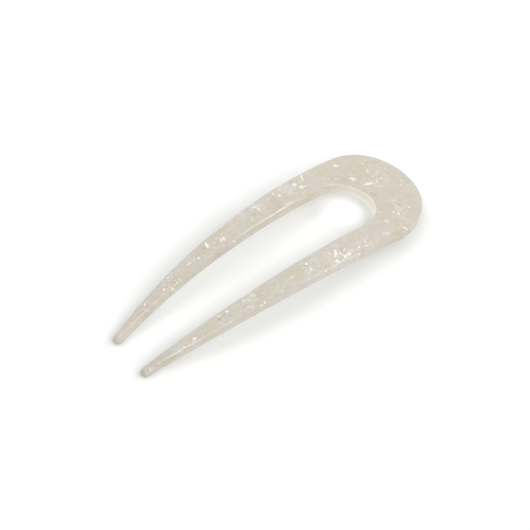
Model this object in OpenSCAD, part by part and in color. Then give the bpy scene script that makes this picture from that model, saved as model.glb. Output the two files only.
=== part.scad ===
// A one-piece hair pin: thick acetate sheet sawn to a U, bent along its length and polished round.
// Flat sizes run along the sheet: u counts from the bow's outer end to the prong tips, y goes across.
// The finished pin lies on its two ends with the bend upwards, its bow towards +X.

/* [Sheet] */
// Length of the pin along the sheet, from bow to tips
pin_len = 110; // [95:1:125]
// Thickness of the sheet
sheet_t = 3.9; // [3:0.1:4.5]
// Radius of the lengthwise bend, at the middle of the sheet
bend_r = 150; // [120:5:400]
// Distance of the bend's highest place from the bow's outer end
crown_at = 54.85; // [50:0.05:60]

/* [Bow] */
// Width across the bow, the widest place of the pin
bow_w = 35.2; // [32:0.2:40]
// Length of the bow's half-round outer end
bow_end_len = 18.6; // [15:0.2:22]
// Material between the bow's outer end and the slot
bow_depth = 18.4; // [15:0.2:21]

/* [Slot] */
// Width of the slot where its closed end begins
slot_w = 18; // [14:0.5:20]
// Length of the slot's round closed end
slot_end_len = 9; // [7:0.5:11]
// How far the hand-cut closed end leans into the -Y corner
slot_lean = 1; // [0:0.1:1.5]

/* [Prongs] */
// Gap between the two prongs at their tips
tip_gap = 12; // [8:0.5:14]
// Width of a prong where its round tip begins
tip_w = 2.3; // [2:0.1:3.5]
// Length of the round tip
tip_len = 2.2; // [1.5:0.1:3]
// Power of the outer edge's curve, higher draws in later
outer_power = 2.1; // [1.8:0.1:2.6]
// Power of the slot edge's curve, higher draws in later
inner_power = 2.5; // [2:0.1:3]

/* [Polish] */
// Radius of the polished edges on the bow
bow_edge_r = 0.7; // [0.3:0.1:1.2]
// Radius of the polished edges at the tips
tip_edge_r = 1.8; // [1:0.1:2]
// Distance from the bow at which the edges start to grow rounder
polish_from = 60; // [45:1:80]

/* [Hidden] */

// Stations along half of the pin, and steps round each polished edge
bow_steps = 16;
prong_steps = 22;
tip_steps = 6;
edge_steps = 3;

// The tips' round ends begin here, with this middle and half-width
tip_start = pin_len - tip_len;
tip_mid = (tip_gap + tip_w) / 2;
slot_end = bow_depth + slot_end_len;

// Half of the flat outline as pairs [outer edge, slot edge], from the bow's middle to one tip.
// lean moves the slot's closed end: along +u where positive.
function bow_pair(a, lean) = [
    [bow_end_len * (1 - cos(a)), bow_w / 2 * sin(a)],
    [bow_depth + slot_end_len * (1 - cos(a)) + lean * sin(2 * a), slot_w / 2 * sin(a)]
];
function prong_pair(f) = [
    [bow_end_len + (tip_start - bow_end_len) * f,
     bow_w / 2 - (bow_w / 2 - tip_mid - tip_w / 2) * pow(f, outer_power)],
    [slot_end + (tip_start - slot_end) * f,
     slot_w / 2 - (slot_w / 2 - tip_mid + tip_w / 2) * pow(f, inner_power)]
];
function tip_pair(a) = [
    [tip_start + tip_len * sin(a), tip_mid + tip_w / 2 * cos(a)],
    [tip_start + tip_len * sin(a), tip_mid - tip_w / 2 * cos(a)]
];
function half_outline(lean) = concat(
    [for (k = [0 : bow_steps]) bow_pair(90 * k / bow_steps, lean)],
    [for (k = [1 : prong_steps]) prong_pair(k / prong_steps)],
    [for (k = [1 : tip_steps - 1]) tip_pair(90 * k / tip_steps)]
);

// Both halves in one run, from the tip on the -Y side round the bow to the tip on the +Y side
near_half = half_outline(-slot_lean);
far_half = half_outline(slot_lean);
half_count = len(near_half);
function flip_y(pair) = [for (p = pair) [p.x, -p.y]];
pairs = concat(
    [for (k = [half_count - 1 : -1 : 0]) flip_y(near_half[k])],
    [for (k = [1 : half_count - 1]) far_half[k]]
);
last = len(pairs) - 1;

// Unit direction into the material at pair k: turn is 1 on the outer edge and -1 on the slot edge
function unit(v) = v / norm(v);
function inward(k, edge, turn) =
    let (d = pairs[min(k + 1, last)][edge] - pairs[max(k - 1, 0)][edge])
    unit(turn * [d.y, -d.x]);

// Rounding of the edges at pair k, as [across the sheet's plane, through its thickness]
function edge_growth(u) = max(0, min(1, (u - polish_from) / (tip_start - polish_from)));
function edge_radii(k) =
    let (width = norm(pairs[k][0] - pairs[k][1]),
         u = min(pairs[k][0].x, tip_start),
         r = bow_edge_r + (tip_edge_r - bow_edge_r) * edge_growth(u),
         room = u < tip_start ? width : tip_w)
    [min(r, 0.45 * room), min(r, 0.48 * sheet_t)];

// Quarter round at one edge, from angle 0 on the wall to 90 on the face; side is 1 above, -1 below
function quarter(k, edge, side) =
    let (r = edge_radii(k), n = inward(k, edge, edge == 0 ? 1 : -1))
    [for (j = [0 : edge_steps])
        let (a = 90 * j / edge_steps, p = pairs[k][edge] + n * r[0] * (1 - cos(a)))
        [p.x, p.y, side * (sheet_t / 2 - r[1] * (1 - sin(a)))]];
function reversed(list) = [for (i = [len(list) - 1 : -1 : 0]) list[i]];

// Closed cross-section at pair k: over the top face, down the slot wall, back below, up the outside
function section(k) =
    let (outer_top = quarter(k, 0, 1), slot_top = quarter(k, 1, 1),
         slot_low = quarter(k, 1, -1), outer_low = quarter(k, 0, -1),
         top_mid = (outer_top[edge_steps] + slot_top[edge_steps]) / 2,
         low_mid = (outer_low[edge_steps] + slot_low[edge_steps]) / 2)
    concat(outer_top, [top_mid], reversed(slot_top), slot_low, [low_mid], reversed(outer_low));
ring_size = 4 * (edge_steps + 1) + 2;

// The flat pin's point [u, y, height above the sheet's middle] on the bent pin
function bent(p) =
    let (turn = (crown_at - p.x) / bend_r * 180 / PI, r = bend_r + p.z)
    [r * sin(turn), p.y, r * cos(turn)];

tip_points = [bent([pin_len, -tip_mid, 0]), bent([pin_len, tip_mid, 0])];
skin = concat([for (k = [0 : last]) each [for (p = section(k)) bent(p)]], tip_points);

// The skin's own box, which centres the pin and sets it on the floor
mid_x = (min([for (p = skin) p.x]) + max([for (p = skin) p.x])) / 2;
low_z = min([for (p = skin) p.z]);

// Triangles: bands between neighbouring sections, and a fan over each tip
function next(j) = (j + 1) % ring_size;
bands = [for (k = [0 : last - 1], j = [0 : ring_size - 1])
    let (a = k * ring_size + j, b = k * ring_size + next(j), c = a + ring_size, d = b + ring_size)
    each [[a, b, c], [b, d, c]]];
tip_fans = [for (j = [0 : ring_size - 1])
    let (first = (last + 1) * ring_size, end = last * ring_size)
    each [[first, next(j), j], [first + 1, end + j, end + next(j)]]];

module hair_pin() {
    color("#d6cdb9")
        translate([-mid_x, 0, -low_z])
            polyhedron(points = skin, faces = concat(bands, tip_fans), convexity = 4);
}

hair_pin();
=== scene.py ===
# %% [markdown]
# # A hair pin cut from mother-of-pearl acetate
#
# The real pin is one piece. It is sawn from a sheet of cellulose acetate, tumbled until its edges
# are soft, polished, and bent over a warm former so that it follows the head. The sheet is cast
# from ivory acetate with chips of pearly film in it, and those chips are most of what one sees.
#
# The lesson goes: frame, camera, light, floor, the pin's surface, where its chips lie, its finish.

# %% The fixed frame
import math

import bmesh
import bpy
import numpy as np
from mathutils import Matrix, Vector


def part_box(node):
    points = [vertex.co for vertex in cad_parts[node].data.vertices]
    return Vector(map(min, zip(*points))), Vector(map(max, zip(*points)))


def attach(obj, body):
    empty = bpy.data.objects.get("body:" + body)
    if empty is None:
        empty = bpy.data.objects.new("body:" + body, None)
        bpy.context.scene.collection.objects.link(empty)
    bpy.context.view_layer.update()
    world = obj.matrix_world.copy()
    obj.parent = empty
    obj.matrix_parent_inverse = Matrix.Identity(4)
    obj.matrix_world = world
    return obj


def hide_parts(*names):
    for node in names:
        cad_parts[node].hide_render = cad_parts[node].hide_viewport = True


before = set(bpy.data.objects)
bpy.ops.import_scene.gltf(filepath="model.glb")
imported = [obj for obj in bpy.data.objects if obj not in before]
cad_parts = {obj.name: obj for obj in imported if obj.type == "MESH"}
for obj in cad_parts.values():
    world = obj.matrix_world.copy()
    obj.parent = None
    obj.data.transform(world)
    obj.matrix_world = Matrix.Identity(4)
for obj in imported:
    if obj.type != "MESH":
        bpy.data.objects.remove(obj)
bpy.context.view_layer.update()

cad_low, cad_high = np.array(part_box("hair_pin"))
MM = 0.001

# %% [markdown]
# ## The camera
#
# A product photographer stands back and uses a long lens, so that near and far parts keep their
# proportions. The place and the lens below were fitted to the pin's outline. The small shift
# slides the picture on the sensor and leaves the perspective alone, as on a view camera.

# %% Camera
PICTURE = 530                 # pixels along each side of the picture
SENSOR = 36.0                 # mm, the sensor's width
CAMERA_TURN = -37.05          # degrees round the pin, from the -Y side
CAMERA_RISE = 57.04           # degrees above the floor
CAMERA_AWAY = 0.6884          # metres from the frame's origin
PIXELS_PER_MM = 3.252         # at the origin
SLIDE = (-6.78, 5.73)         # pixels that the picture slides, right and up


def direction(turn, rise):
    """Unit vector that points from the origin out to a place at this turn and rise, in degrees."""
    turn, rise = math.radians(turn), math.radians(rise)
    return Vector((math.sin(turn) * math.cos(rise), -math.cos(turn) * math.cos(rise), math.sin(rise)))


camera_data = bpy.data.cameras.new("camera")
camera_data.sensor_width = SENSOR
camera_data.lens = PIXELS_PER_MM / MM * CAMERA_AWAY * SENSOR / PICTURE
camera_data.shift_x = SLIDE[0] / PICTURE
camera_data.shift_y = SLIDE[1] / PICTURE
camera_data.clip_end = 20.0
camera = bpy.data.objects.new("camera", camera_data)
camera.location = direction(CAMERA_TURN, CAMERA_RISE) * CAMERA_AWAY
camera.rotation_euler = direction(CAMERA_TURN, CAMERA_RISE).to_track_quat("Z", "Y").to_euler()
bpy.context.collection.objects.link(camera)
bpy.context.scene.camera = camera
print("lens:", round(camera_data.lens, 1), "mm")

# %% [markdown]
# ## Small helpers for nodes and colours
#
# A finish is a set of nodes. One helper puts a node down with its settings and its inputs, where
# an input is either a plain value or the output of an earlier node, and the rest are the few
# kinds of step that come back again and again. Another turns the hex colour that a maker reads
# off a swatch into the linear light that the renderer works in.

# %% Helpers for colours and numbers


def paint(swatch):
    """Linear RGBA of a hex swatch: each channel goes through the sRGB curve."""
    channels = [int(swatch[k:k + 2], 16) / 255 for k in (1, 3, 5)]
    return [c / 12.92 if c <= 0.04045 else ((c + 0.055) / 1.055) ** 2.4 for c in channels] + [1.0]


def put(tree, kind, inputs=None, **settings):
    """Add a node of this kind; inputs are values or other nodes' outputs, by socket name or number."""
    made = tree.nodes.new(kind)
    for name, value in settings.items():
        setattr(made, name, value)
    for name, value in (inputs or {}).items():
        if isinstance(value, bpy.types.NodeSocket):
            tree.links.new(value, made.inputs[name])
        else:
            made.inputs[name].default_value = value
    return made


def sums(tree, operation, *values, clamp=False):
    """One step of arithmetic on numbers, as a node's output."""
    made = put(tree, "ShaderNodeMath", dict(enumerate(values)), operation=operation, use_clamp=clamp)
    return made.outputs[0]


def times(tree, first, *others):
    """The product of two or more numbers, as a node's output."""
    for other in others:
        first = sums(tree, "MULTIPLY", first, other)
    return first


def fade(tree, value, low, high, to_low=0.0, to_high=1.0):
    """Smooth step: to_low where value is at low, to_high where it is at high."""
    limits = {"Value": value, "From Min": low, "From Max": high, "To Min": to_low, "To Max": to_high}
    return put(tree, "ShaderNodeMapRange", limits, interpolation_type="SMOOTHSTEP").outputs[0]


def line_at(tree, value, middle, half, core=0.0):
    """1 where value is within core of middle, and a smooth step down to 0 at half away from it."""
    off = sums(tree, "ABSOLUTE", sums(tree, "SUBTRACT", value, middle))
    return fade(tree, off, half, core)


# %% [markdown]
# Places are vectors, and they need the same few steps. The last helper here makes a material
# with the plain values that hold all over its surface.

# %% Helpers for places and materials


def vector_step(tree, operation, *values):
    """One step of arithmetic on vectors, as an output: a number where the step gives a number."""
    made = put(tree, "ShaderNodeVectorMath", dict(enumerate(values)), operation=operation)
    return made.outputs["Value" if operation in ("DOT_PRODUCT", "DISTANCE") else "Vector"]


def scaled(tree, vector, factor):
    """The vector times a number, as a node's output."""
    return put(tree, "ShaderNodeVectorMath", {0: vector, "Scale": factor}, operation="SCALE").outputs[0]


def blend_colours(tree, share, first, second):
    """first where share is 0 and second where it is 1, as a colour output."""
    return put(tree, "ShaderNodeMix", {0: share, 6: first, 7: second}, data_type="RGBA").outputs[2]


def finish(name, shader_values):
    """A new material with one Principled shader whose named sockets get these plain values."""
    material = bpy.data.materials.new(name)
    material.use_nodes = True
    shader = material.node_tree.nodes["Principled BSDF"]
    for socket, value in shader_values.items():
        shader.inputs[socket].default_value = value
    return material, shader


# %% [markdown]
# ## Light
#
# The pin was shot in a white tent, which is why its shadows are so pale. The strongest soft box
# stands on the camera's side, and weaker ones stand overhead and low round about. Big lamps would
# mirror in the polish as broad patches, and the photograph shows only fine bright lines along the
# edges. So the big boxes light the pin but stay out of its reflections, and the small panels are
# there for the reflections alone. A panel's width sets how far a line runs along an edge, and its
# height sets how thick the line is.

# %% Light
TENT_GLOW = 0.7               # the tent as the polish mirrors it; white paper in full light is 1
LAMP_AWAY = 3.0               # metres from the pin


def soft_box(name, turn, rise, wide, tall, glow, mirrored):
    """A rectangular lamp out at turn and rise, that spans wide by tall degrees as the pin sees it."""
    lamp = bpy.data.lights.new(name, "AREA")
    lamp.shape = "RECTANGLE"
    lamp.size = 2 * LAMP_AWAY * math.tan(math.radians(wide / 2))
    lamp.size_y = 2 * LAMP_AWAY * math.tan(math.radians(tall / 2))
    lamp.energy = glow * math.pi * lamp.size * lamp.size_y
    placed = bpy.data.objects.new(name, lamp)
    aim = direction(turn, rise)
    side = (Vector((1, 0, 0)) - aim * aim.x).normalized()
    placed.location = aim * LAMP_AWAY
    placed.rotation_euler = Matrix((side, aim.cross(side), aim)).transposed().to_euler()
    placed.visible_glossy = mirrored
    placed.visible_diffuse = not mirrored
    bpy.context.collection.objects.link(placed)


lamps = [
    # name, turn, rise, wide, tall, glow, mirrored
    ("camera_side", 0, 57, 38, 38, 4.5, False),
    ("overhead_left", 240, 76, 38, 38, 1.6, False),
    ("overhead_right", 120, 74, 38, 38, 0.6, False),
    ("right_front", 60, 38, 38, 38, 2.5, False),
    ("right_back", 120, 56, 38, 38, 0.9, False),
    ("left_back", 240, 56, 38, 38, 1.1, False),
    ("low_left", 290, 18, 38, 38, 0.3, False),
    ("low_back", 180, 18, 38, 38, 2.6, False),
    ("edge_panel", 50.2, 57, 16, 10, 22.0, True),
    ("near_tip_panel", -46, 57.5, 14, 10, 27.0, True),
    ("far_tip_panel", -26, 65.5, 9, 10, 21.0, True),
    ("back_panel", 168, 23.8, 3.5, 8, 26.0, True)]
for lamp_row in lamps:
    soft_box(*lamp_row)
print(len(lamps), "lamps, of which", sum(row[-1] for row in lamps), "show in the polish")

world = bpy.data.worlds.new("tent")
world.use_nodes = True
world.node_tree.nodes["Background"].inputs["Color"].default_value = (1.0, 1.0, 1.0, 1.0)
world.node_tree.nodes["Background"].inputs["Strength"].default_value = TENT_GLOW
world.cycles_visibility.diffuse = False
bpy.context.scene.world = world
bpy.context.scene.view_settings.view_transform = "Standard"

# %% [markdown]
# ## Floor
#
# The pin lies on plain white card, which runs far past the picture, so no edge of it shows from
# any side. Acetate lets light through, so the card right under the pin is never as dark as it
# would be under wood, and in the closed end of the slot it is nearly white. The renderer's own
# light does not go through a solid this thick in so few samples. So the card itself glows a
# little in soft strips: one in the slot's end, one under each prong and one at the bow's foot.

# %% Floor
FLOOR_HALF = 3.0              # metres
CARD_WHITE = (0.81, 0.816, 0.808, 1)
floor_mesh = bpy.data.meshes.new("white_card")
corners = [(x * FLOOR_HALF, y * FLOOR_HALF, 0.0) for x, y in ((-1, -1), (1, -1), (1, 1), (-1, 1))]
floor_mesh.from_pydata(corners, [], [(0, 1, 2, 3)])
floor = bpy.data.objects.new("white_card", floor_mesh)
bpy.context.collection.objects.link(floor)
card, card_shader = finish("white_card", {
    "Base Color": CARD_WHITE, "Roughness": 0.9, "Specular IOR Level": 0.0, "Emission Strength": 1.0})
card_tree = card.node_tree
on_card = put(card_tree, "ShaderNodeTexCoord").outputs["Object"]


def light_strip(start, end, inner, outer, start_glow, end_glow):
    """Glow of the card round a line between two (x, y) places in mm.

    A point's nearest place on the line is found first. Along the line the glow falls from
    start_glow to end_glow with the square of the share of the line that is left. Across it the
    glow holds up to inner mm away and is gone at outer mm.
    """
    start, end = (Vector((x, y, 0.0)) * MM for x, y in (start, end))
    span = end - start
    from_start = vector_step(card_tree, "SUBTRACT", on_card, start)
    share = vector_step(card_tree, "DOT_PRODUCT", from_start, span / span.length_squared)
    share = sums(card_tree, "ADD", share, 0.0, clamp=True)
    away = vector_step(card_tree, "DISTANCE", from_start, scaled(card_tree, span, share))
    left = sums(card_tree, "SUBTRACT", 1.0, share)
    glow = sums(card_tree, "MULTIPLY_ADD", times(card_tree, left, left), start_glow - end_glow, end_glow)
    return times(card_tree, fade(card_tree, away, outer * MM, inner * MM), glow)


strips = [
    # start, end, inner, outer, glow at the start, glow at the end
    ((36, 6.2), (45, 4.5), 1.0, 13.5, 0.42, 0.42),
    ((28, 14), (-30, 12), 0.0, 6.0, 0.155, 0.02),
    ((42, -12.5), (-48, -7.5), 0.0, 5.5, 0.18, 0.05),
    ((38.8, -3), (41.5, 4), 0.5, 3.5, 0.24, 0.2)]
card_glow = 0.0
for strip in strips:
    card_glow = sums(card_tree, "ADD", light_strip(*strip), card_glow)
card_tree.links.new(card_glow, card_shader.inputs["Emission Color"])
floor_mesh.materials.append(card)
print(len(strips), "strips of light on the card")

# %% [markdown]
# ## The outline of the flat blank
#
# Before it is bent, the pin is a flat blank. Its place along the length is u, from the middle of
# the bow to the tips, and y runs across. Each half is drawn as pairs of points, one on the outer
# edge and one on the slot's edge: two quarter ellipses round the bow, two power curves down the
# prong, and a half ellipse round the tip. The numbers are those of the solid, except that the
# edges at the tips stay crisper here, as the photograph shows them.

# %% Outline
PIN_LENGTH = 110.0            # mm along the bent sheet
SHEET = 3.9                   # mm, its thickness
BEND_RADIUS = 150.0           # mm, at the middle of the thickness
CROWN_AT = 54.85              # mm from the bow to the highest point
BOW_WIDTH = float(cad_high[1] - cad_low[1]) / MM
BOW_END = 18.6                # mm from the bow's middle to its widest place
BOW_DEPTH = 18.4              # mm of material between the bow's middle and the slot
SLOT_WIDTH = 18.0             # mm beside its round end
SLOT_END = 9.0                # mm, depth of the slot's round end
SLOT_LEAN = 1.0               # mm that the slot's end leans, as the saw left it
TIP_GAP = 12.0                # mm between the two tips
TIP_WIDTH = 2.3               # mm across a prong where its round tip begins
TIP_LENGTH = 2.2              # mm from there to the end
OUTER_POWER = 2.1             # how late the outer edge turns in
SLOT_POWER = 2.5              # how late the slot's edge turns in
TIP_START = PIN_LENGTH - TIP_LENGTH
TIP_MIDDLE = (TIP_GAP + TIP_WIDTH) / 2
ROUND_POINTS = 1500           # points worked out on the bow's quarter ellipses
LONG_POINTS = 3001            # and down each edge of the prong
TIP_POINTS = 400              # and round the tip


def half_outline(lean):
    """Dense pairs [outer, slot] of (u, y) for one half, from the bow's middle to the tip.

    Bow: u goes with 1 - cos and y with sin of a turn that runs through a right angle, and the
    slot's end leans by the sine of twice the turn. Prong: u runs evenly, and y moves from its
    place at the bow to the tip's by a power of the share travelled. Tip: a quarter ellipse.
    """
    turn = np.linspace(0, np.pi / 2, ROUND_POINTS)
    along = np.linspace(0, 1, LONG_POINTS)[1:]
    tip = np.linspace(0, np.pi / 2, TIP_POINTS)[1:]
    outer_u = np.concatenate([
        BOW_END * (1 - np.cos(turn)),
        BOW_END + (TIP_START - BOW_END) * along,
        TIP_START + TIP_LENGTH * np.sin(tip)])
    outer_y = np.concatenate([
        BOW_WIDTH / 2 * np.sin(turn),
        BOW_WIDTH / 2 - (BOW_WIDTH / 2 - TIP_MIDDLE - TIP_WIDTH / 2) * along ** OUTER_POWER,
        TIP_MIDDLE + TIP_WIDTH / 2 * np.cos(tip)])
    slot_from = BOW_DEPTH + SLOT_END
    slot_u = np.concatenate([
        BOW_DEPTH + SLOT_END * (1 - np.cos(turn)) + lean * np.sin(2 * turn),
        slot_from + (TIP_START - slot_from) * along,
        TIP_START + TIP_LENGTH * np.sin(tip)])
    slot_y = np.concatenate([
        SLOT_WIDTH / 2 * np.sin(turn),
        SLOT_WIDTH / 2 - (SLOT_WIDTH / 2 - TIP_MIDDLE + TIP_WIDTH / 2) * along ** SLOT_POWER,
        TIP_MIDDLE - TIP_WIDTH / 2 * np.cos(tip)])
    return np.stack([np.stack([outer_u, outer_y], 1), np.stack([slot_u, slot_y], 1)], 1)


def evenly(dense, count):
    """The same pairs at count places, evenly spaced by the mean of both edges' lengths."""
    steps = np.linalg.norm(np.diff(dense, axis=0), axis=2).mean(1)
    travelled = np.concatenate([[0], np.cumsum(steps)])
    wanted = np.linspace(0, travelled[-1], count)
    numbers = dense.reshape(len(dense), 4)
    columns = [np.interp(wanted, travelled, numbers[:, k]) for k in range(4)]
    return np.stack(columns, 1).reshape(count, 2, 2)


HALF_STATIONS = 480           # sections along each half
near_half = evenly(half_outline(-SLOT_LEAN), HALF_STATIONS)[::-1] * [1, -1]
far_half = evenly(half_outline(SLOT_LEAN), HALF_STATIONS)[1:]
pairs = np.concatenate([near_half, far_half])
print(len(pairs), "stations; widest", round(float(np.ptp(pairs[..., 1])), 2), "mm")

# %% [markdown]
# ## From outline to skin
#
# At each station the cross-section is a rounded bar: top face, wall to the slot, bottom face and
# outer wall, with a quarter ellipse at each of the four edges. The section could be swept along a
# middle line, but the prongs taper and the bow is broad, so it is laid between the two points of
# the pair instead. Each point first gets its direction into the material and its edge radius. At
# the two tips the outer edge meets the slot's edge, so both get one direction there.

# %% Edges
BOW_EDGE = 0.7                # mm, edge radius round the bow
TIP_EDGE = 1.0                # mm, edge radius at the tips, where the polishing wheel worked longest
POLISH_FROM = 60.0            # mm from the bow, where the edges begin to get rounder
WIDTH_SHARE = 0.45            # of the width, the most that one edge's radius takes
SHEET_SHARE = 0.48            # of the sheet's thickness, the same


def lengths(vectors):
    """Length of each vector in an array whose last axis holds its coordinates."""
    return np.linalg.norm(vectors, axis=-1, keepdims=True)


def inward(edge_points, turn):
    """Unit normals into the material: the edge's tangent, turned a quarter to the side of turn."""
    tangent = np.gradient(edge_points, axis=0)
    normal = turn * np.stack([tangent[:, 1], -tangent[:, 0]], 1)
    return normal / lengths(normal)


width = lengths(pairs[:, 0] - pairs[:, 1])[:, 0]
place = np.minimum(pairs[:, 0, 0], TIP_START)
growth = np.clip((place - POLISH_FROM) / (TIP_START - POLISH_FROM), 0, 1)
radius = BOW_EDGE + (TIP_EDGE - BOW_EDGE) * growth
room = np.where(place < TIP_START, width, TIP_WIDTH)
radius_across = np.minimum(radius, WIDTH_SHARE * room)
radius_high = np.minimum(radius, SHEET_SHARE * SHEET)
normals = [inward(pairs[:, 0], 1), inward(pairs[:, 1], -1)]
for end in (0, -1):
    shared = normals[0][end] + normals[1][end]
    normals[0][end] = normals[1][end] = shared / lengths(shared)
print("edge radii:", round(float(radius_across.min()), 2), "to", round(float(radius_across.max()), 2), "mm")

# %% [markdown]
# The section's points go once round it. Tumbling rounds a sheet a little everywhere, so the top
# face falls very slightly towards its edges: both edges are set lower, and the face swells up
# again between them. The bottom face, which is out of sight, stays flat.

# %% Section
EDGE_STEPS = 6                # steps round each quarter
TOP_STEPS = 46                # steps across the top face, where the chips are seen best
LOW_STEPS = 10                # steps across the bottom face
WALL_STEPS = 8                # and down each wall
FACE_FALL = 0.05              # mm that the top face falls towards its edges
BROAD_AT = 10.0               # mm of width from which it falls by all of that
broad = np.clip(width / BROAD_AT, 0, 1) ** 2


def quarter(edge, side):
    """Quarter ellipse at an edge, from the wall to the face, as [station, step, (u, y, h)]."""
    angle = np.linspace(0, np.pi / 2, EDGE_STEPS + 1)
    run = radius_across[:, None] * (1 - np.cos(angle))
    flat = pairs[:, edge][:, None] + normals[edge][:, None] * run[..., None]
    height = side * (SHEET / 2 - radius_high[:, None] * (1 - np.sin(angle)))
    return np.concatenate([flat, height[..., None]], 2)


def bridge(start, end, steps, fall=0.0):
    """Points strictly between two rows of points, with a swelling of height fall between them.

    The swelling is one minus the fourth power of the way from the middle, 0, to an edge, 1.
    """
    share = np.linspace(0, 1, steps + 1)[1:-1][None, :, None]
    between = start[:, None] * (1 - share) + end[:, None] * share
    swell = 1 - (2 * share[..., 0] - 1) ** 4
    between[..., 2] += fall * swell * broad[:, None]
    return between


outer_top, slot_top = quarter(0, 1), quarter(1, 1)
slot_low, outer_low = quarter(1, -1), quarter(0, -1)
for rounded in (outer_top, slot_top):
    rounded[..., 2] -= FACE_FALL * broad[:, None] * (rounded[..., 2] > SHEET / 4)
sheet_points = np.concatenate([
    outer_top,
    bridge(outer_top[:, -1], slot_top[:, -1], TOP_STEPS, FACE_FALL),
    slot_top[:, ::-1],
    bridge(slot_top[:, 0], slot_low[:, 0], WALL_STEPS),
    slot_low,
    bridge(slot_low[:, -1], outer_low[:, -1], LOW_STEPS),
    outer_low[:, ::-1],
    bridge(outer_low[:, 0], outer_top[:, 0], WALL_STEPS)], 1)
stations, ring = sheet_points.shape[:2]
print(stations, "sections of", ring, "points")

# %% [markdown]
# The blank is then bent: its length turns into an angle round the former, and its height adds to
# the former's radius. Hand polishing leaves faint waves about a centimetre long, which only the
# reflections show.

# %% Bend
POLISH_WAVE = 0.004           # mm from the foot of a wave to its top, at either face
flat = sheet_points.reshape(-1, 3)
wave = np.sin(flat[:, 0] * 0.71 + 0.9 * np.sin(flat[:, 1] * 0.43)) * np.sin(flat[:, 1] * 0.62 + 1.3)
turned = (CROWN_AT - flat[:, 0]) / BEND_RADIUS
reach = BEND_RADIUS + flat[:, 2] * (1 + POLISH_WAVE / SHEET * wave)
skin = np.stack([reach * np.sin(turned), flat[:, 1], reach * np.cos(turned)], 1)
middle_x = (skin[:, 0].min() + skin[:, 0].max()) / 2
lowest_z = skin[:, 2].min()
skin -= [middle_x, 0, lowest_z]
print("skin box in mm:", skin.min(0).round(2).tolist(), skin.max(0).round(2).tolist())

# %% [markdown]
# The rows of points become four-sided faces between neighbouring stations. At each tip the last
# section has shrunk to a line, so its two sides are welded into one seam, and the skin is closed.
# The volume is worked out from the faces' outward directions: it is positive only if they point
# outwards.

# %% Faces
WELD = 2e-6                   # metres within which two points become one
TOO_SHORT = 1e-7              # metres below which an edge is taken out
station = np.arange(stations - 1)[:, None] * ring
step = np.arange(ring)[None, :]
following = (step + 1) % ring
faces = np.stack([station + step, station + ring + step, station + ring + following,
                  station + following], 2).reshape(-1, 4)
pin_mesh = bpy.data.meshes.new("pearl_pin")
pin_mesh.from_pydata((skin * MM).tolist(), [], faces.tolist())
shell = bmesh.new()
shell.from_mesh(pin_mesh)
bmesh.ops.remove_doubles(shell, verts=shell.verts, dist=WELD)
bmesh.ops.dissolve_degenerate(shell, edges=shell.edges, dist=TOO_SHORT)
open_edges = sum(1 for edge in shell.edges if not edge.is_manifold)
shell.to_mesh(pin_mesh)
shell.free()
pin_mesh.polygons.foreach_set("use_smooth", np.ones(len(pin_mesh.polygons), bool))
middles, outwards, areas = (np.empty(len(pin_mesh.polygons) * size) for size in (3, 3, 1))
pin_mesh.polygons.foreach_get("center", middles)
pin_mesh.polygons.foreach_get("normal", outwards)
pin_mesh.polygons.foreach_get("area", areas)
volume = float((areas * (middles * outwards).reshape(-1, 3).sum(1)).sum()) / 3
print(len(pin_mesh.polygons), "faces,", open_edges, "open edges,", round(volume / MM ** 3), "cubic mm")

# %% [markdown]
# ## Where the chips lie
#
# The chips of pearly film show in two ways. Large pieces deep in the sheet tint it: rose, olive,
# honey, a pale mint, and now and then brown. Small pieces near the face flash white. The ones
# that catch the eye are listed, in the flat blank's own millimetres, and noise fills in the
# rest. Each piece is a polygon. Its distance is worked out at every vertex and kept in the mesh,
# negative inside, so that the shader can draw a crisp straight edge between the vertices.

# %% Polygons on the blank
bent = np.empty(len(pin_mesh.vertices) * 3)
pin_mesh.vertices.foreach_get("co", bent)
bent = bent.reshape(-1, 3) / MM + [middle_x, 0, lowest_z]
from_axis = np.hypot(bent[:, 0], bent[:, 2])
blank = np.stack([
    CROWN_AT - BEND_RADIUS * np.arctan2(bent[:, 0], bent[:, 2]),
    bent[:, 1],
    from_axis - BEND_RADIUS], 1).astype(np.float32)
sheet_layer = pin_mesh.attributes.new("sheet", "FLOAT_VECTOR", "POINT")
sheet_layer.data.foreach_set("vector", blank.ravel())
print("unbent blank in mm:", blank.min(0).round(2).tolist(), blank.max(0).round(2).tolist())
shuffle = np.random.default_rng(11)


def piece_distance(rows, corners, reach_from, wobble):
    """Distance in mm to each row's polygon and place along it, as [vertex, row]; negative inside.

    In the row's own axes the polygon is cut out by straight lines at uneven angles, each at least
    reach_from of the half size away. The distance is the largest of the signed distances to these
    lines, times the half width. The blank's own places are first moved about by wobble mm times a
    sum of two sines, along and across.
    """
    rows = np.asarray(rows, np.float32)
    u, y, length, wide, turn = rows[:, :5].T
    cos, sin = np.cos(np.radians(turn)), np.sin(np.radians(turn))
    here_u, here_y = blank[:, 0], blank[:, 1]
    wave_u = np.sin(1.9 * here_y + np.sin(1.3 * here_u)) + 0.5 * np.sin(4.1 * here_y + here_u)
    wave_y = np.sin(1.7 * here_u + np.sin(1.5 * here_y)) + 0.5 * np.sin(3.7 * here_u - here_y)
    du = (here_u + wobble * wave_u)[:, None] - u
    dy = (here_y + wobble * wave_y)[:, None] - y
    along = (du * cos + dy * sin) / (length / 2)
    over = (dy * cos - du * sin) / (wide / 2)
    distance = np.full(along.shape, -9.0, np.float32)
    for corner in range(corners):
        angle = 2 * np.pi / corners * (corner + shuffle.uniform(-0.35, 0.35, len(rows)))
        reach = shuffle.uniform(reach_from, 1.1, len(rows))
        line = along * np.cos(angle) + over * np.sin(angle) - reach
        distance = np.maximum(distance, line.astype(np.float32))
    return distance * wide / 2, along


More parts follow.
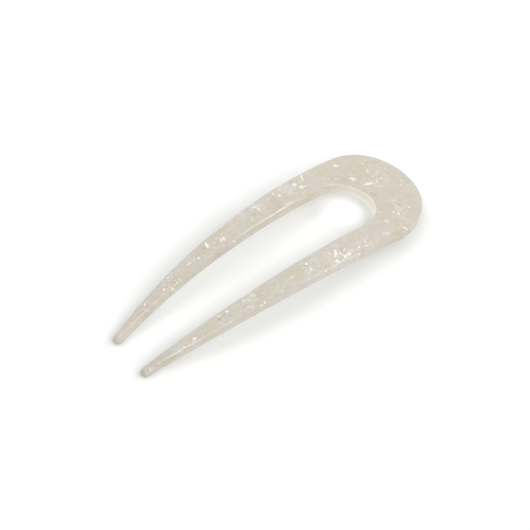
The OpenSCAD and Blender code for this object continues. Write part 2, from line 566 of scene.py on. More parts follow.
def keep(name, values):
    """Store one number per vertex in the mesh under this name."""
    layer = pin_mesh.attributes.new(name, "FLOAT", "POINT")
    layer.data.foreach_set("value", np.ascontiguousarray(values, np.float32))


def soft(distance, softness):
    """1 inside, 0 outside, with a smooth step that is softness mm wide on each side of the edge."""
    share = np.clip(0.5 - distance / (2 * softness), 0, 1)
    return share * share * (3 - 2 * share)


# %% [markdown]
# The tinted pieces lie deep, so the acetate over them softens their edges. They are six-sided and
# slightly ragged, and they go through the whole sheet, so that walls show them as well.

# %% Tinted pieces
tints = {
    # tone: rows of u, y, length, width in mm and turn in degrees
    "rose": [
        (23, 15.2, 2.8, 2.0, 139), (17, 10.6, 3.6, 2.8, 152), (9.2, 10.9, 4.4, 2.9, 143),
        (10.3, 6.6, 2.7, 2.3, 54), (0.6, 1.1, 5.6, 3.4, 101), (10.6, -12.9, 6.0, 3.6, 129),
        (23.6, -12.1, 5.9, 3.4, 25), (36.6, -11.3, 6.7, 3.2, 0), (30.4, 14, 3.6, 3.2, 158),
        (36.3, 12.9, 1.7, 1.3, 134), (47, 11.6, 3.3, 3.0, 31), (53, 15, 2.4, 1.6, 38),
        (62, 13.4, 2.6, 2.4, 111), (66.5, 8.6, 3.7, 2.2, 1), (75.2, 11.8, 2.8, 1.7, 44),
        (83.4, 12.3, 2.0, 1.8, 77), (88, 9.5, 4.3, 2.9, 169), (65.5, -11.9, 3.7, 3.0, 122),
        (55.6, -14.6, 3.6, 2.9, 3), (74.3, -11.9, 2.5, 2.0, 120), (82.6, -12.6, 3.7, 1.9, 20),
        (102, -8, 5.9, 1.9, 14), (92.6, 9.1, 3.7, 1.7, 178)],
    "olive": [
        (14, 10.2, 4.9, 3.3, 142), (6, 9.9, 2.8, 2.7, 158), (9.8, -2.8, 6.8, 3.9, 17),
        (6.5, -6.4, 4.3, 2.6, 121), (11.2, -7.6, 3.4, 2.5, 157), (19.5, -17, 5.1, 2.3, 1),
        (26.4, -17.2, 3.7, 1.6, 4), (33, 8.8, 5.4, 2.3, 179), (82, 8.7, 4.3, 2.6, 174),
        (75.6, -10.1, 3.2, 1.4, 12), (75.5, -13.9, 3.7, 1.8, 18), (86.5, -9.8, 6.1, 3.3, 15)],
    "honey": [
        (46, -12.4, 2.9, 2.8, 148), (30, -13.3, 3.9, 2.0, 2), (38.4, 12.6, 1.8, 1.7, 7),
        (64, -13.4, 3.7, 3.3, 154), (15, -3, 5.3, 3.3, 138), (25.6, 11.5, 3.4, 3.0, 162)],
    "mint": [
        (8.3, 2.9, 3.7, 3.3, 146), (19.7, -11.6, 1.9, 1.4, 12), (23, -15.3, 2.9, 2.4, 174),
        (41.3, -15.9, 6.0, 3.7, 4), (50.8, -14.3, 4.0, 3.0, 3), (38.6, 14.5, 4.7, 3.1, 0),
        (35, 10.8, 2.3, 1.3, 130), (49.4, 14.5, 4.3, 3.0, 36), (55, 14.9, 1.7, 1.6, 43),
        (69, 11.7, 2.0, 1.7, 115), (70.8, -10.5, 5.7, 2.5, 11), (96.3, -9.6, 3.7, 2.6, 17)],
    "brown": [
        (20, 8.4, 2.0, 1.7, 169), (14.7, -6.5, 2.8, 1.8, 18), (16, -0.8, 2.2, 1.7, 3),
        (44.2, 12.2, 4.4, 2.6, 77), (50.8, 11.7, 5.4, 0.9, 67), (84.5, 9.9, 2.6, 1.4, 45),
        (97.3, 7.2, 5.4, 1.7, 174), (33.5, -17.2, 3.0, 2.2, 134), (79.3, -10.8, 2.5, 1.6, 45)]}
for tone, rows in tints.items():
    distance, along = piece_distance(rows, corners=6, reach_from=0.8, wobble=0.25)
    keep(tone, soft(distance, softness=0.35).max(1))
print({tone: len(rows) for tone, rows in tints.items()})

# %% [markdown]
# The white chips are what one notices first. They are small splinters of film, four-sided and
# sharp, and each has its own brightness and its own slight colour, from mint to rose. Beside some
# chips lies a dark gap. Both lie just under the top face, so they end a little way down the walls.

# %% White chips and dark gaps
chips = [
    # u, y, length, width, turn, brightness, warmth (0 mint, 1 rose)
    (19.2, 14.4, 2.0, 0.95, 51, 0.75, 0.9), (17.7, 7.4, 2.5, 0.55, 42, 1.0, 0.5),
    (18.4, 6.9, 1.1, 0.55, 61, 0.5, 0.6), (14.3, 3.4, 2.6, 0.9, 26, 1.0, 0.5),
    (11.4, 3.0, 1.7, 0.45, 108, 0.9, 0.5), (9.7, 3.5, 1.6, 0.3, 10, 0.5, 0.5),
    (8.9, 12.3, 1.8, 0.35, 132, 0.4, 0.9), (10.7, 11.1, 1.9, 0.6, 82, 0.3, 0.9),
    (11.5, 7.9, 1.1, 0.85, 99, 0.45, 0.9), (8.6, 6.3, 1.0, 0.6, 63, 0.3, 0.9),
    (5.2, 6.3, 0.85, 0.6, 57, 0.3, 1.0), (3.8, 0.1, 0.95, 0.7, 33, 0.35, 0.4),
    (5.3, -1.5, 0.8, 0.5, 95, 0.5, 0.5), (12.1, -5.9, 1.1, 0.4, 71, 0.55, 0.6),
    (13.0, -7.3, 0.7, 0.45, 39, 0.4, 0.6), (15.3, -9.6, 0.85, 0.55, 87, 0.75, 0.6),
    (14.3, -11.0, 0.95, 0.5, 95, 0.65, 0.6), (9.2, -10.4, 0.75, 0.6, 80, 0.75, 0.6),
    (19.2, -7.9, 1.1, 0.6, 36, 0.35, 0.9), (19.6, -11.6, 1.4, 1.1, 76, 0.35, 0.1),
    (16.3, -16.0, 0.75, 0.45, 64, 0.6, 0.5), (16.1, -17.0, 0.9, 0.6, 80, 0.9, 0.7),
    (23.6, -15.2, 0.9, 0.6, 100, 0.4, 0.1), (22.7, -15.7, 1.05, 0.5, 104, 0.55, 0.1),
    (22.6, 9.8, 1.6, 0.55, 34, 0.35, 0.9), (12.4, 1.1, 0.7, 0.7, 98, 0.35, 0.6),
    (42.5, -12.5, 1.5, 0.3, 74, 0.6, 0.3), (41.2, -13.4, 2.8, 0.8, 137, 1.0, 0.5),
    (39.6, -14.2, 1.6, 0.5, 97, 0.95, 0.4), (39.1, -15.8, 1.5, 1.2, 10, 1.0, 0.5),
    (37.6, -15.7, 1.2, 1.1, 12, 1.0, 0.5), (42.2, -15.9, 1.15, 1.1, 45, 0.9, 0.4),
    (37.7, -13.7, 0.5, 0.4, 67, 0.5, 0.6), (36.1, -15.4, 0.9, 0.5, 99, 0.4, 0.6),
    (33.5, -15.3, 0.7, 0.8, 38, 0.8, 0.6), (30.5, -14.8, 0.75, 0.5, 66, 0.5, 0.7),
    (31.3, -16.0, 0.75, 0.5, 54, 0.65, 0.6), (34.9, -17.4, 0.8, 0.8, 56, 0.65, 0.9),
    (50.5, -11.3, 0.7, 0.7, 41, 1.0, 0.6), (50.6, -13.7, 1.2, 0.4, 117, 0.6, 0.1),
    (48.2, -11.0, 0.5, 0.45, 43, 0.45, 0.3), (47.0, -16.6, 0.5, 0.5, 36, 0.6, 0.6),
    (31.6, 15.7, 1.95, 0.6, 100, 0.8, 0.2), (35.3, 14.6, 1.6, 0.95, 82, 1.0, 0.4),
    (34.0, 12.7, 1.3, 1.1, 75, 0.65, 0.9), (32.8, 12.5, 1.2, 0.4, 18, 0.45, 0.6),
    (42.8, 15.5, 0.6, 0.7, 38, 0.75, 0.6), (41.6, 13.8, 0.7, 0.7, 67, 0.85, 0.5),
    (45.5, 14.7, 1.3, 0.4, 95, 0.45, 0.5), (50.5, 14.6, 1.3, 0.7, 53, 0.45, 0.1),
    (49.9, 13.4, 1.2, 0.8, 73, 0.5, 0.0), (53.8, 11.4, 1.65, 0.35, 109, 0.55, 0.5),
    (41.2, 10.0, 2.0, 0.6, 9, 0.4, 0.3), (70.0, 12.3, 2.1, 0.9, 95, 1.0, 0.4),
    (65.5, 11.2, 0.8, 0.9, 44, 0.9, 0.4), (64.6, 11.0, 1.6, 0.5, 105, 0.95, 0.5),
    (62.7, 8.6, 0.7, 0.7, 34, 0.55, 0.4), (68.6, 10.4, 0.5, 0.5, 53, 0.5, 0.5),
    (74.4, 10.5, 0.8, 0.8, 41, 0.65, 0.5), (77.7, 11.0, 1.2, 0.6, 15, 0.6, 0.8),
    (85.5, 11.4, 0.6, 0.4, 80, 0.65, 0.6), (86.7, 8.8, 0.55, 0.5, 53, 0.9, 0.6),
    (88.5, 9.1, 0.65, 0.65, 51, 0.8, 0.6), (86.6, 7.7, 1.0, 0.5, 174, 0.7, 0.9),
    (84.2, 8.3, 0.6, 0.6, 32, 0.6, 0.9), (83.1, 8.6, 1.0, 0.4, 90, 0.7, 0.6),
    (89.4, 7.1, 0.65, 0.4, 77, 0.55, 0.6), (56.7, -12.5, 0.7, 1.1, 79, 0.3, 0.6),
    (62.0, -14.5, 0.95, 0.65, 104, 0.3, 0.6), (72.8, -9.7, 0.8, 0.8, 34, 0.5, 0.1),
    (69.1, -10.7, 1.0, 0.5, 24, 0.5, 0.0), (68.2, -14.4, 0.65, 0.7, 45, 0.95, 0.5),
    (69.6, -14.4, 1.1, 0.4, 2, 0.45, 0.7), (72.4, -12.9, 2.4, 1.0, 59, 0.3, 0.9),
    (78.6, -9.6, 1.1, 0.65, 38, 0.8, 0.6), (81.5, -9.2, 0.65, 0.65, 52, 0.9, 0.5),
    (79.8, -14.1, 0.55, 0.55, 53, 0.7, 0.6), (81.5, -13.5, 0.6, 0.55, 50, 0.4, 0.9),
    (95.8, 9.1, 1.1, 0.5, 109, 1.0, 0.4), (96.4, 6.9, 0.75, 0.35, 106, 0.6, 0.5),
    (91.1, -10.1, 1.2, 0.95, 17, 0.7, 0.1), (95.0, -9.9, 0.8, 0.55, 23, 0.5, 0.5),
    (106.0, -9.2, 1.2, 0.65, 37, 0.85, 0.6), (107.0, -8.4, 0.9, 0.4, 140, 0.6, 0.7)]
gaps = [
    # u, y, length, width, turn, depth of tone
    (39.1, -13.9, 1.7, 0.6, 88, 0.75), (82.0, -9.9, 1.05, 0.8, 39, 0.7), (36.1, 16.2, 0.6, 0.8, 67, 0.6),
    (51.0, -11.8, 1.0, 0.7, 40, 0.5), (71.3, 12.4, 0.7, 0.7, 58, 0.6), (33.1, 13.6, 2.2, 0.4, 20, 0.5),
    (87.2, 8.9, 0.9, 0.7, 50, 0.5), (40.2, -15.0, 1.3, 0.4, 100, 0.5), (66.2, 12.2, 0.9, 0.5, 60, 0.5),
    (52.4, 12.6, 1.6, 0.5, 70, 0.4), (18.6, 9.0, 2.0, 0.7, 40, 0.4), (19.0, -17.4, 2.0, 0.5, 10, 0.3)]
CHIP_DEPTH = 0.8              # mm below the top face at which chips and gaps end
CHIP_GAIN = 1.35              # by which the brightness in the table counts
under = (SHEET / 2 - CHIP_DEPTH - blank[:, 2])[:, None]
for name, rows in (("chip", chips), ("gap", gaps)):
    table = np.array(rows)
    distance, along = piece_distance(table, corners=4, reach_from=0.7, wobble=0.0)
    distance = np.maximum(distance, under)
    nearest = distance.argmin(1)
    keep(name + "_edge", np.clip(distance.min(1), -1, 1))
    keep(name + "_tone", np.clip(table[nearest, 5] * (CHIP_GAIN if name == "chip" else 1), 0, 1))
    if name == "chip":
        keep("chip_warmth", table[nearest, 6])
        keep("chip_along", np.clip(along[np.arange(len(blank)), nearest], -2, 2))
print(len(chips), "chips and", len(gaps), "gaps laid by hand")

# %% [markdown]
# Chips and crumbs also come in swarms, where a handful of film went into the melt at once. A mask
# for the swarms turns up the finer layers of the pattern there. Its rows are looser than those of
# the chips: they only say where it glitters.

# %% Swarms
swarms = [
    # u, y, length, width, turn, density
    (40.0, -14.3, 11.0, 6.5, 8, 1.0), (31.5, -15.5, 8.0, 4.5, 170, 0.7), (50.5, -13.0, 6.0, 7.0, 0, 1.0),
    (34.0, 13.8, 8.0, 6.0, 170, 1.0), (50.0, 14.0, 7.0, 5.0, 20, 0.7), (42.0, 14.7, 4.0, 3.0, 0, 0.6),
    (66.8, 11.4, 9.0, 5.0, 160, 1.0), (86.2, 9.2, 9.0, 6.0, 165, 1.0), (76.0, 10.5, 7.0, 3.0, 160, 0.5),
    (95.5, 8.2, 7.0, 3.5, 170, 0.8), (13.0, 4.0, 9.0, 7.0, 30, 0.8), (9.5, 10.8, 7.0, 5.0, 70, 0.6),
    (12.5, -8.5, 6.0, 8.0, 0, 0.8), (16.2, -16.2, 5.0, 4.0, 60, 0.9), (23.0, -14.8, 5.0, 4.0, 10, 0.6),
    (18.0, 7.8, 6.0, 4.0, 40, 0.7), (71.5, -12.0, 11.0, 7.0, 10, 0.7), (81.0, -11.0, 8.0, 5.0, 15, 0.7),
    (94.5, -9.5, 10.0, 4.0, 15, 0.9), (105.5, -8.2, 6.0, 3.0, 15, 1.0), (60.0, -13.0, 9.0, 5.0, 5, 0.3),
    (45.5, 9.5, 9.0, 3.0, 5, 0.6)]
distance, along = piece_distance(swarms, corners=6, reach_from=0.8, wobble=0.3)
keep("swarm", (soft(distance, softness=1.2) * np.array(swarms)[:, 5]).max(1))
print(len(swarms), "swarms")

# %% [markdown]
# Four more masks follow the shape. The walls get another amount of light than the faces, so they
# take painted light of their own: one mask is 1 on the walls and fades over the rounded edges. On
# the walls at the back, towards +Y and the bow, which get less light, a second mask takes its
# place and carries painted shade.

# %% Walls
BACK_X, BACK_Y = 1.6, 1.4     # how fast a wall becomes a back wall as it turns to +X or +Y
BACK_START = 0.5              # how much of one it is when it faces neither
BACK_REACH = 2.2              # how much further the back walls' mask reaches over the edges
facing = np.empty(len(blank) * 3)
pin_mesh.vertices.foreach_get("normal", facing)
facing = facing.reshape(-1, 3)
bend_turn = np.arctan2(bent[:, 0], bent[:, 2])
off_sheet = facing[:, 0] * np.sin(bend_turn) + facing[:, 2] * np.cos(bend_turn)
sideways = np.clip(1 - np.abs(off_sheet), 0, 1)
back = np.clip(BACK_Y * facing[:, 1] + BACK_X * facing[:, 0] + BACK_START, 0, 1)
# painted light: the walls get a factor of their own
keep("wall", sideways * (1 - back))
# painted shade on the walls at the back
keep("shaded_back_wall", np.clip(BACK_REACH * sideways, 0, 1) * back)
print("wall vertices:", int((sideways > 0.5).sum()), "of", len(blank))

# %% [markdown]
# The third mask is for the closed end of the slot, which the polishing wheel is too wide for. The
# wall there stays as the tumbling left it: pale, matt and a little frosted. Seen from the middle
# of the slot's round end, into_wall says how far a place lies past the slot's edge. The fourth mask
# says how much light shines out of that wall, after it came in through the bow: most of it comes
# out of the near half.

# %% Frosted end of the slot
FROST_TO = BOW_DEPTH + SLOT_END     # mm from the bow's middle, where the wheel begins to reach
FROST_SHORT = 1.7             # mm by which the frost ends sooner on the far side
NEAR_END, FAR_END = 1.5, 2.4  # mm over which it ends on either side
FROST_IN = 0.3                # mm that it reaches over the rounded edges
FROST_RIM = 0.25              # mm, how softly it ends there
FAR_CORNER = 6.5              # mm from the middle line, where the wall turns into the far prong
CORNER_FROST = 0.6            # how frosted it is from there on
FAR_LIGHT = 0.12              # light out of the far half, as a share of that out of the near half
to_slot, here_y = FROST_TO - blank[:, 0], blank[:, 1]
rim_to_slot, rim_y = FROST_TO - pairs[:, 1, 0], pairs[:, 1, 1]
rim_turn, rim_away = np.arctan2(rim_y, rim_to_slot), np.hypot(rim_y, rim_to_slot)
rim_here = np.interp(np.arctan2(here_y, to_slot), rim_turn, rim_away)
into_wall = np.hypot(here_y, to_slot) - rim_here
far_side = here_y > 0
past_end = (np.where(far_side, FROST_SHORT, 0) - to_slot) / np.where(far_side, FAR_END, NEAR_END)
frost = soft(into_wall - FROST_IN, softness=FROST_RIM) * soft(past_end, softness=1.0)
frost = frost * (1 - (1 - CORNER_FROST) * soft(FAR_CORNER - here_y, softness=2.0))
keep("frost", frost)
keep("shone_through", frost * (FAR_LIGHT + (1 - FAR_LIGHT) * soft(here_y - 1, softness=4.0)))
print("frosted vertices:", int((frost > 0.5).sum()))

# %% [markdown]
# ## Node groups for the pattern
#
# Noise fills in what the tables leave open. A Voronoi texture splits space into polygons, which
# is what broken film looks like once the pieces are packed together. One group makes such
# pieces at a given size. It puts out two random tones for each, how far in one is from its rim, and
# a ramp across it, since each piece of film lies at its own tilt and shades from side to side.

# %% Film pieces
HALF_GREY = (0.5, 0.5, 0.5)   # the middle of a random colour, taken off to centre it


def new_group(name, sockets_in, sockets_out):
    """An empty node group, with what goes in and what comes out; sockets are given as name: kind."""
    group = bpy.data.node_groups.new(name, "ShaderNodeTree")
    for in_out, sockets in (("INPUT", sockets_in), ("OUTPUT", sockets_out)):
        for socket, kind in sockets.items():
            group.interface.new_socket(name=socket, in_out=in_out, socket_type="NodeSocket" + kind)
    return group, group.nodes.new("NodeGroupInput").outputs, group.nodes.new("NodeGroupOutput").inputs


pieces, given, out = new_group(
    "film_pieces",
    {"Place": "Vector", "Size": "Float", "Wobble": "Float", "Shift": "Vector", "Stretch": "Vector"},
    {"Tone": "Float", "Second Tone": "Float", "Ramp": "Float", "Rim": "Float"})
moved = vector_step(pieces, "ADD", given["Place"], given["Shift"])
noise = put(pieces, "ShaderNodeTexNoise", {"Vector": moved, "Scale": 0.5, "Detail": 2.0})
wander = vector_step(pieces, "SUBTRACT", noise.outputs["Color"], HALF_GREY)
ragged = vector_step(pieces, "ADD", moved, scaled(pieces, wander, given["Wobble"]))
flattened = vector_step(pieces, "MULTIPLY", ragged, given["Stretch"])
packed = scaled(pieces, flattened, sums(pieces, "DIVIDE", 1.0, given["Size"]))
cells = put(pieces, "ShaderNodeTexVoronoi", {"Vector": packed, "Scale": 1.0})
tones = put(pieces, "ShaderNodeSeparateColor", {"Color": cells.outputs["Color"]})
tilt = vector_step(pieces, "SUBTRACT", cells.outputs["Color"], HALF_GREY)
local = vector_step(pieces, "SUBTRACT", packed, cells.outputs["Position"])
rims = put(pieces, "ShaderNodeTexVoronoi", {"Vector": packed, "Scale": 1.0}, feature="DISTANCE_TO_EDGE")
pieces.links.new(tones.outputs["Red"], out["Tone"])
pieces.links.new(tones.outputs["Green"], out["Second Tone"])
pieces.links.new(vector_step(pieces, "DOT_PRODUCT", local, tilt), out["Ramp"])
pieces.links.new(times(pieces, rims.outputs["Distance"], given["Size"]), out["Rim"])
print(len(pieces.nodes), "nodes in the film pieces")

# %% [markdown]
# Crumbs are the dust of the same film: round grains a third of a millimetre across, that gather
# in swarms. A second Voronoi texture gives a grain to a share of its cells, with a random radius.

# %% Film crumbs
SMALLEST = 0.4                # a grain's smallest radius, as a share of the group's Radius
GRAIN_RIM = 0.06              # mm, how softly a grain ends
crumbs, given, out = new_group(
    "film_crumbs",
    {"Place": "Vector", "Spacing": "Float", "Radius": "Float", "Share": "Float"},
    {"Mask": "Float"})
spread = scaled(crumbs, given["Place"], sums(crumbs, "DIVIDE", 1.0, given["Spacing"]))
grains = put(crumbs, "ShaderNodeTexVoronoi", {"Vector": spread, "Scale": 1.0})
lot = put(crumbs, "ShaderNodeSeparateColor", {"Color": grains.outputs["Color"]})
away = times(crumbs, grains.outputs["Distance"], given["Spacing"])
grain = times(crumbs, given["Radius"], sums(crumbs, "ADD", lot.outputs["Blue"], SMALLEST))
inside = fade(crumbs, sums(crumbs, "SUBTRACT", away, grain), GRAIN_RIM, -GRAIN_RIM)
chosen = sums(crumbs, "LESS_THAN", lot.outputs["Red"], given["Share"])
crumbs.links.new(times(crumbs, inside, chosen), out["Mask"])
print(len(crumbs.nodes), "nodes in the film crumbs")

# %% [markdown]
# ## The acetate
#
# Acetate lets light in and scatters it, so the finish has subsurface scattering, about a
# millimetre deep. Its polish is a clear coat that knows nothing of the chips below, while the
# layer under the coat takes a bump from them: that is how film gives a soft flash at some angles
# under a smooth surface. The colours are laid one over another, from deep in the sheet up to the
# face. Each layer reads its place in the flat sheet, so the pattern bends with the pin.

# %% Acetate
IVORY = {
    "ground": "#d2ccc3", "rose": "#cec6c0", "olive": "#cdc8b7", "honey": "#d2cbbd",
    "mint": "#d3d3ca", "brown": "#c6bdb1", "pale": "#e1ddd4", "dark": "#c3bcaf",
    # tip is a swatch of painted shade for the very tips
    "sliver": "#ece9e0", "crumb": "#f0eadc", "gap": "#aaa294", "tip": "#bcb2ab",
    # the frost swatches after the first are painted light and painted shade on the frosted wall
    "cool_chip": "#f8fff6", "warm_chip": "#fff8f2", "frost": "#ebe7dd", "frost_low_lit": "#f9f6f1",
    "frost_rim_shade": "#dddad0"}
swatch = {name: paint(value) for name, value in IVORY.items()}
pearl, shader = finish("pearl_acetate", {
    "Subsurface Weight": 0.5, "Subsurface Radius": (1.0, 0.93, 0.84), "Subsurface Scale": 0.0012,
    "Specular IOR Level": 0.0, "IOR": 1.5, "Coat Roughness": 0.04, "Coat IOR": 1.5,
    "Emission Strength": 1.0})
tree = pearl.node_tree
sheet_place = put(tree, "ShaderNodeAttribute", attribute_name="sheet").outputs["Vector"]
along_sheet, across_sheet, up_sheet = put(tree, "ShaderNodeSeparateXYZ", {0: sheet_place}).outputs


def held(name):
    """The number that the mesh keeps under this name, as an output."""
    return put(tree, "ShaderNodeAttribute", attribute_name=name).outputs["Fac"]


def painted(under, share, name):
    """The colour under, with this share of a swatch laid over it."""
    return blend_colours(tree, share, under, swatch[name])


def film(group, **values):
    """Place a film group in the finish, at the sheet's own places and with these plain values."""
    made = put(tree, "ShaderNodeGroup", {"Place": sheet_place, **values}, node_tree=group)
    return made.outputs


print(len(swatch), "swatches")

# %% [markdown]
# The ground is ivory that clouds over into olive. Deep film tints it: large soft pieces of rose
# that noise places, and then the tinted pieces of the table.

# %% Ground and deep film
FLAT_FILM = (1.0, 1.0, 1.8)   # film lies flat in the sheet, so its pieces are thinner than long
TINT = 0.8                    # how strongly the table's pieces show
cloud = put(tree, "ShaderNodeTexNoise", {"Vector": sheet_place, "Scale": 0.11, "Detail": 3.0}).outputs["Fac"]
colour = painted(swatch["olive"], fade(tree, cloud, 0.35, 0.65), "ground")
deep = film(pieces, Size=4.5, Wobble=2.4, Shift=(7.0, 3.0, 1.0), Stretch=FLAT_FILM)
to_rose = times(tree, fade(tree, deep["Tone"], 0.45, 0.75), fade(tree, deep["Rim"], 0.0, 0.9), 0.6)
colour = painted(colour, to_rose, "rose")
for tone in ("olive", "rose", "honey", "mint", "brown"):
    colour = painted(colour, times(tree, held(tone), TINT), tone)

# %% [markdown]
# Nearer the face, film of two sizes lies packed edge to edge. A few pieces catch the light and a
# few don't, and here and there a thin bright line runs just inside a piece's rim.

# %% Packed film
TONE_STEP = 0.03              # of the random tone, over which a piece comes to show
near = film(pieces, Size=2.3, Wobble=0.9, Shift=(31.0, 17.0, 5.0), Stretch=FLAT_FILM)
fine = film(pieces, Size=1.1, Wobble=0.5, Shift=(3.0, 41.0, 9.0), Stretch=(1.0, 1.7, 2.0))
packings = [
    # film, tone above which it is light, second tone above which it is dark, how much it shows
    (near, 0.7, 0.8, 0.17), (fine, 0.8, 0.85, 0.25)]
for layer, light_from, dark_from, shows in packings:
    crisp = fade(tree, layer["Rim"], 0.01, 0.06)
    shade = sums(tree, "ADD", layer["Ramp"], 0.6, clamp=True)
    light = fade(tree, layer["Tone"], light_from, light_from + TONE_STEP)
    colour = painted(colour, times(tree, light, crisp, shade, 1.6 * shows), "pale")
    dark = fade(tree, layer["Second Tone"], dark_from, dark_from + TONE_STEP)
    colour = painted(colour, times(tree, dark, crisp, shows), "dark")
hair = times(tree, line_at(tree, near["Rim"], 0.1, 0.08), fade(tree, near["Tone"], 0.35, 0.2), 0.35)
colour = painted(colour, hair, "pale")

# %% [markdown]
# In the swarms the film is shredded. Slivers lie across the pin and splinters along it, some
# bright and some leaving a dark gap, with crumbs between them.

# %% Slivers and crumbs
STRAY_SLIVER = 0.02           # how much a sliver shows outside the swarms
STRAY_CRUMB = 0.03            # and a crumb
swarm = held("swarm")
sliver = film(pieces, Size=0.8, Wobble=0.6, Shift=(13.0, 2.0, 4.0), Stretch=(2.4, 0.9, 2.0))
splinter = film(pieces, Size=0.75, Wobble=0.6, Shift=(5.0, 23.0, 2.0), Stretch=(0.8, 2.2, 2.0))
for layer, strength in ((sliver, 0.4), (splinter, 0.45)):
    crisp = fade(tree, layer["Rim"], 0.02, 0.08)
    bright = times(tree, fade(tree, layer["Tone"], 0.8, 0.8 + TONE_STEP), crisp)
    density = sums(tree, "MULTIPLY_ADD", swarm, strength, STRAY_SLIVER)
    colour = painted(colour, times(tree, bright, density), "sliver")
    hollow = times(tree, fade(tree, layer["Tone"], 0.2, 0.2 - TONE_STEP), crisp)
    colour = painted(colour, times(tree, hollow, swarm, 0.5 * strength), "gap")
crumb = film(crumbs, Spacing=1.0, Radius=0.16, Share=0.25)["Mask"]
density = sums(tree, "MULTIPLY_ADD", swarm, 0.4, STRAY_CRUMB)
colour = painted(colour, times(tree, crumb, density), "crumb")
print(len(tree.nodes), "nodes up to the crumbs")

# %% [markdown]
# On top come the painted shade at the very tips, where they meet the card, and the chips and gaps
# of the tables. A chip has a thin dark rim. It shades from one end to the other, and the splinter
# pattern breaks it up into facets with fine cracks between them.

# %% Tips, gaps and chips
TIP_SHADE_FROM, TIP_SHADE_FULL = 107.6, 109.6   # mm from the bow, between which the tips darken
TIP_SHADE = 0.5                # how far the very tip goes towards its own swatch
# painted shade at the very tips, where they meet the card
colour = painted(colour, fade(tree, along_sheet, TIP_SHADE_FROM, TIP_SHADE_FULL, to_high=TIP_SHADE), "tip")
gap_on = times(tree, fade(tree, held("gap_edge"), 0.15, -0.2), held("gap_tone"))
colour = painted(colour, gap_on, "gap")
chip_edge, chip_tone = held("chip_edge"), held("chip_tone")
chip_rim = times(tree, line_at(tree, chip_edge, 0.12, 0.12, core=0.02), chip_tone, 0.35)
colour = painted(colour, chip_rim, "dark")
slope = fade(tree, held("chip_along"), -1.2, 0.4, to_low=0.6)
crack = fade(tree, splinter["Rim"], 0.0, 0.07, to_low=0.45)
facet = fade(tree, splinter["Second Tone"], 0.1, 0.6, to_low=0.6)
chip_on = times(tree, fade(tree, chip_edge, 0.1, 0.0), chip_tone, slope, crack, facet)
chip_colour = painted(swatch["cool_chip"], held("chip_warmth"), "warm_chip")
colour = blend_colours(tree, chip_on, colour, chip_colour)

# %% [markdown]
# The swatches were mixed under one even light, and the parts of the pin each get a different
# amount. So light and shade are painted in: each part takes a factor that brings it to its own
# level: the faces, the walls from top to foot, both of them at the bow, the wall of the far prong,
# and the walls at the back, which get painted shade.

# %% Painted light and shade on faces and walls
PAST_BOW, AT_BOW = 32.0, 18.0       # mm from the bow's middle, between which its own levels come in
WALL_TOP, WALL_FOOT = 1.6, -1.9     # mm up from the middle of the sheet
FAR_FROM, FAR_FULL = 3.0, 7.0       # mm across, between which the far prong's level comes in
WHITEST = (0.95, 0.95, 0.95)  # no real surface gives back more light
# painted light and shade: a factor for each part, by how the light falls on it
levels = {
    # part: factor for red, green and blue
    "face": (0.842, 0.829, 0.825, 1), "bow_face": (0.82, 0.802, 0.776, 1),
    "high_wall": (0.955, 0.93, 0.9, 1), "low_wall": (1.0, 0.985, 0.96, 1),
    "bow_wall": (0.9, 0.875, 0.845, 1), "far_wall": (1.005, 0.985, 0.95, 1),
    "shaded_back_wall": (0.623, 0.6, 0.594, 1)}
bow_share = fade(tree, along_sheet, PAST_BOW, AT_BOW)
face_painted_light = blend_colours(tree, bow_share, levels["face"], levels["bow_face"])
down_wall = fade(tree, up_sheet, WALL_TOP, WALL_FOOT)
wall_painted_light = blend_colours(tree, down_wall, levels["high_wall"], levels["low_wall"])
wall_painted_light = blend_colours(tree, bow_share, wall_painted_light, levels["bow_wall"])
far_share = fade(tree, across_sheet, FAR_FROM, FAR_FULL)
wall_painted_light = blend_colours(tree, far_share, wall_painted_light, levels["far_wall"])
# painted light on the walls, then painted shade on the walls at the back
level = blend_colours(tree, held("wall"), face_painted_light, wall_painted_light)
level = blend_colours(tree, held("shaded_back_wall"), level, levels["shaded_back_wall"])
colour = vector_step(tree, "MINIMUM", vector_step(tree, "MULTIPLY", colour, level), WHITEST)
print(len(levels), "levels of light")
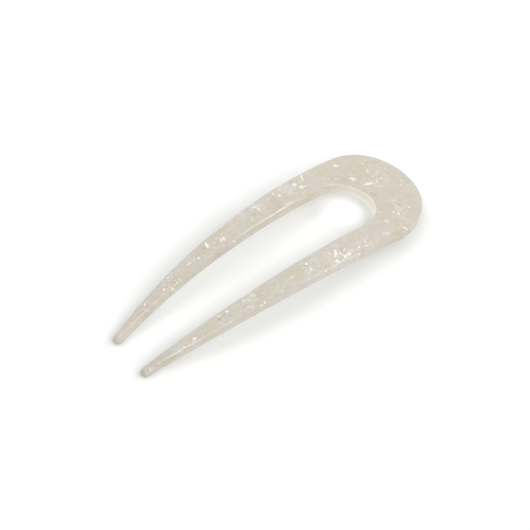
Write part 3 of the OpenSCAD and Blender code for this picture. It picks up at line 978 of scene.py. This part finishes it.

# %% [markdown]
# The frosted wall hides the film. Painted light makes it paler downwards, where light comes back
# from the card, and painted shade makes its rim on the far side a little darker. The light that
# shines out of it is warm, because the acetate keeps some of the blue.

# %% Finish of the frosted end
DARK = (0.0, 0.0, 0.0, 1)
WARM_LIGHT = (1.0, 0.9, 0.78, 1)
WALL_LIGHT = 0.12             # light out of the low part of the near half
frosted = held("frost")
# painted light: paler towards the foot of the wall
frost_colour = painted(swatch["frost"], fade(tree, up_sheet, 1.2, WALL_FOOT), "frost_low_lit")
# painted shade on the rim of the far side
rim_shade = times(tree, fade(tree, up_sheet, 1.1, 1.6), fade(tree, across_sheet, -2.0, 3.0))
frost_colour = painted(frost_colour, rim_shade, "frost_rim_shade")
colour = blend_colours(tree, frosted, colour, frost_colour)
tree.links.new(colour, shader.inputs["Base Color"])
through = times(tree, held("shone_through"), fade(tree, up_sheet, 1.9, 0.2, to_high=WALL_LIGHT))
tree.links.new(blend_colours(tree, through, DARK, WARM_LIGHT), shader.inputs["Emission Color"])
print("light out of the wall:", WALL_LIGHT)

# %% [markdown]
# Last come the polish and the film's relief. The coat is smooth and full, apart from the frosted
# end. The tilt of each piece of film is the height for the bump under it.

# %% Polish
FILM_ROUGH, FROST_ROUGH = 0.32, 0.65    # under the coat, on film and on the frosted wall
FULL_COAT, FROST_COAT = 1.0, 0.2        # how full the clear coat is over either
tree.links.new(fade(tree, frosted, 0.0, 1.0, FILM_ROUGH, FROST_ROUGH), shader.inputs["Roughness"])
tree.links.new(fade(tree, frosted, 0.0, 1.0, FULL_COAT, FROST_COAT), shader.inputs["Coat Weight"])
height = 0.0
for layer, relief in ((deep, 0.5), (near, 0.25), (sliver, 0.15)):
    height = sums(tree, "MULTIPLY_ADD", layer["Ramp"], relief, height)
bump = put(tree, "ShaderNodeBump", {"Strength": 0.35, "Distance": 0.0005, "Height": height})
tree.links.new(bump.outputs["Normal"], shader.inputs["Normal"])
print(len(tree.nodes), "nodes in the acetate")

# %% [markdown]
# ## The finished piece
#
# The skin takes the finish and stands for the solid of the same shape. It moves with the body that
# the solid moves with.

# %% Hand over
pin = bpy.data.objects.new("pearl_pin", pin_mesh)
bpy.context.collection.objects.link(pin)
pin_mesh.materials.append(pearl)
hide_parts("hair_pin")
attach(pin, "root")
